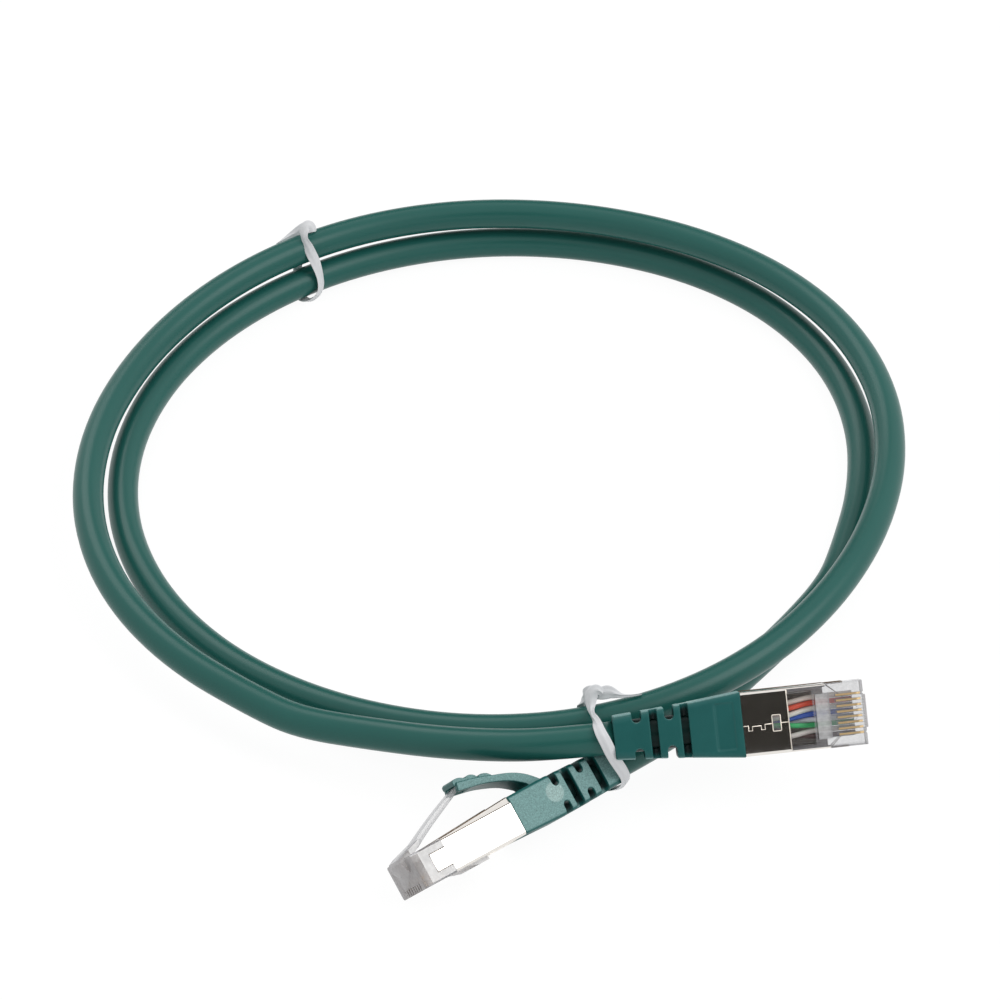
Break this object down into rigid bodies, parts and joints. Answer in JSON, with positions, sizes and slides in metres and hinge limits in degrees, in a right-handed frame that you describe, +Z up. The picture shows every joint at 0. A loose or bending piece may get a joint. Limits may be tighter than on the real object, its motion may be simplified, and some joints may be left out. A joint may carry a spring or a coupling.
{
  "type": "patch cable",
  "caption": "Coiled shielded network patch cable with snagless boots, clear latched modular plugs and two twist ties.",
  "frame": {"origin": "middle of the outline, on the surface that the coil lies on", "axes": "+Z up off that surface, -Y towards the side where both plugs lie, +X to the right as seen from there"},
  "size_m": [0.1626, 0.1902, 0.0243],
  "materials": {
    "clear_plastic": "clear polycarbonate, glossy",
    "nickel_sheet": "bright nickel plate on formed sheet",
    "tinned_braid": "fine tinned wire",
    "boot_green": "soft moulded, satin with fine grain on the narrow sides",
    "jacket_green": "satin flexible jacket",
    "gold_plate": "polished gold plate",
    "white_ribbon": "thin flexible ribbon over a soft wire",
    "wire_white_orange": "insulation, white with a pale orange tint",
    "wire_orange": "insulation",
    "wire_white_green": "insulation, white with a pale green tint",
    "wire_blue": "insulation",
    "wire_white_blue": "insulation, white with a pale blue tint",
    "wire_green": "insulation",
    "wire_white_brown": "insulation, white with a pale brown tint",
    "wire_brown": "insulation"
  },
  "bodies": {
    "patch_cable": {"boot_a": "boot_green", "boot_b": "boot_green", "braid_a": "tinned_braid", "braid_b": "tinned_braid", "cable_coil": "jacket_green", "cable_end_a": "jacket_green", "cable_end_b": "jacket_green", "cable_lead_a": "jacket_green", "cable_lead_b": "jacket_green", "contact_1_a": "gold_plate", "contact_1_b": "gold_plate", "contact_2_a": "gold_plate", "contact_2_b": "gold_plate", "contact_3_a": "gold_plate", "contact_3_b": "gold_plate", "contact_4_a": "gold_plate", "contact_4_b": "gold_plate", "contact_5_a": "gold_plate", "contact_5_b": "gold_plate", "contact_6_a": "gold_plate", "contact_6_b": "gold_plate", "contact_7_a": "gold_plate", "contact_7_b": "gold_plate", "contact_8_a": "gold_plate", "contact_8_b": "gold_plate", "ferrule_a": "nickel_sheet", "ferrule_b": "nickel_sheet", "housing_a": "clear_plastic", "housing_b": "clear_plastic", "load_bar_a": "clear_plastic", "load_bar_b": "clear_plastic", "shield_a": "nickel_sheet", "shield_b": "nickel_sheet", "tie_one": "white_ribbon", "tie_two": "white_ribbon", "wire_blue_a": "wire_blue", "wire_blue_b": "wire_blue", "wire_brown_a": "wire_brown", "wire_brown_b": "wire_brown", "wire_green_a": "wire_green", "wire_green_b": "wire_green", "wire_orange_a": "wire_orange", "wire_orange_b": "wire_orange", "wire_white_blue_a": "wire_white_blue", "wire_white_blue_b": "wire_white_blue", "wire_white_brown_a": "wire_white_brown", "wire_white_brown_b": "wire_white_brown", "wire_white_green_a": "wire_white_green", "wire_white_green_b": "wire_white_green", "wire_white_orange_a": "wire_white_orange", "wire_white_orange_b": "wire_white_orange"},
    "latch_lever_a": {"latch_a": "clear_plastic"},
    "latch_lever_b": {"latch_b": "clear_plastic"},
    "guard_arm_a": {"boot_arm_a": "boot_green"},
    "guard_arm_b": {"boot_arm_b": "boot_green"}
  },
  "joints": [
    {"name": "guard_flex_a", "type": "hinge", "parent": "patch_cable", "child": "guard_arm_a", "pos_m": [0.03828, -0.05837, 0.01246], "axis": [0.1056, -0.6953, -0.711], "range_deg": [0, 6.6], "stiffness_Nm_per_rad": 0.02},
    {"name": "latch_flex_a", "type": "hinge", "parent": "patch_cable", "child": "latch_lever_a", "pos_m": [0.06205, -0.05729, 0.01493], "axis": [-0.1056, 0.6953, 0.711], "range_deg": [0, 11], "stiffness_Nm_per_rad": 0.02},
    {"name": "guard_flex_b", "type": "hinge", "parent": "patch_cable", "child": "guard_arm_b", "pos_m": [0.0034, -0.07031, 0.00951], "axis": [0.3654, -0.4529, 0.8132], "range_deg": [0, 6.6], "stiffness_Nm_per_rad": 0.02},
    {"name": "latch_flex_b", "type": "hinge", "parent": "patch_cable", "child": "latch_lever_b", "pos_m": [-0.01515, -0.08542, 0.00943], "axis": [-0.3654, 0.4529, -0.8132], "range_deg": [0, 11], "stiffness_Nm_per_rad": 0.02}
  ],
  "couplings": [
    {"joint": "latch_flex_a", "follows": "guard_flex_a", "ratio": 1.6662},
    {"joint": "latch_flex_b", "follows": "guard_flex_b", "ratio": 1.6662}
  ]
}
